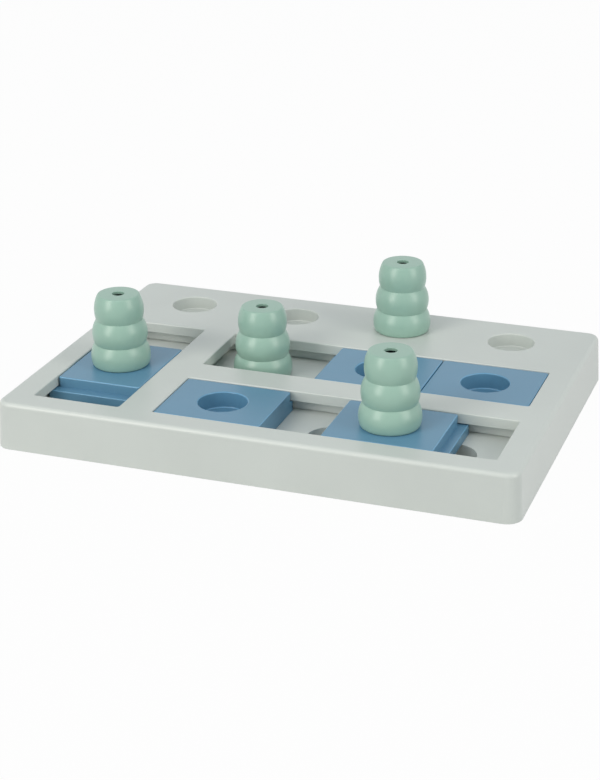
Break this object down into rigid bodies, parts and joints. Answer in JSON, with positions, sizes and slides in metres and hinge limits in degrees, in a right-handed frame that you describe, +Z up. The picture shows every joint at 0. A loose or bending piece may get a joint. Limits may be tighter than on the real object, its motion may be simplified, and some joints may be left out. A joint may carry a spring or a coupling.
{
  "type": "dog puzzle feeder",
  "caption": "Low board with slots, sliding treat blocks, lift-off stacked cones and round treat wells, a puzzle feeder for dogs.",
  "frame": {"origin": "middle of the board's footprint, on the surface that its rubber feet stand on", "axes": "+X to the right along the long side, +Y from the front edge to the strip with the row of wells at the back, +Z up"},
  "size_m": [0.4, 0.285, 0.0946],
  "materials": {
    "board_plastic": "satin moulded",
    "tray_plastic": "satin moulded",
    "slider_plastic": "satin moulded",
    "cone_plastic": "satin moulded",
    "foot_rubber": "matte",
    "screw_steel": "zinc plated"
  },
  "bodies": {
    "board": {"top_cover": "board_plastic", "floor_tray": "tray_plastic", "tray_screws": "screw_steel", "foot_front_left": "foot_rubber", "foot_front_middle": "foot_rubber", "foot_front_right": "foot_rubber", "foot_back_left": "foot_rubber", "foot_back_middle": "foot_rubber", "foot_back_right": "foot_rubber"},
    "slider_left": {"slider_left": "slider_plastic"},
    "slider_front_left": {"slider_front_left": "slider_plastic"},
    "slider_front_right": {"slider_front_right": "slider_plastic"},
    "slider_back_middle": {"slider_back_middle": "slider_plastic"},
    "slider_back_right": {"slider_back_right": "slider_plastic"},
    "cone_left": {"cone_left": "cone_plastic"},
    "cone_front": {"cone_front": "cone_plastic"},
    "cone_back_slot": {"cone_back_slot": "cone_plastic"},
    "cone_deck": {"cone_deck": "cone_plastic"}
  },
  "joints": [
    {"name": "left_slider_slide", "type": "slide", "parent": "board", "child": "slider_left", "axis": [0, 1, 0], "range_m": [-0.0385, 0.04433]},
    {"name": "front_left_slider_slide", "type": "slide", "parent": "board", "child": "slider_front_left", "axis": [1, 0, 0], "range_m": [0, 0.04543]},
    {"name": "front_right_slider_slide", "type": "slide", "parent": "board", "child": "slider_front_right", "axis": [1, 0, 0], "range_m": [0, 0.04493]},
    {"name": "back_middle_slider_slide", "type": "slide", "parent": "board", "child": "slider_back_middle", "axis": [1, 0, 0], "range_m": [-0.02347, 0]},
    {"name": "back_right_slider_slide", "type": "slide", "parent": "board", "child": "slider_back_right", "axis": [1, 0, 0], "range_m": [-0.02347, 0]},
    {"name": "cone_left_lift", "type": "slide", "parent": "slider_left", "child": "cone_left", "axis": [0, 0, 1], "range_m": [0, 0.07]},
    {"name": "cone_front_lift", "type": "slide", "parent": "slider_front_right", "child": "cone_front", "axis": [0, 0, 1], "range_m": [0, 0.07]},
    {"name": "cone_back_slot_lift", "type": "slide", "parent": "board", "child": "cone_back_slot", "axis": [0, 0, 1], "range_m": [0, 0.07]},
    {"name": "cone_deck_lift", "type": "slide", "parent": "board", "child": "cone_deck", "axis": [0, 0, 1], "range_m": [0, 0.07]}
  ],
  "couplings": [
    {"joint": "back_right_slider_slide", "follows": "back_middle_slider_slide", "ratio": 1}
  ]
}
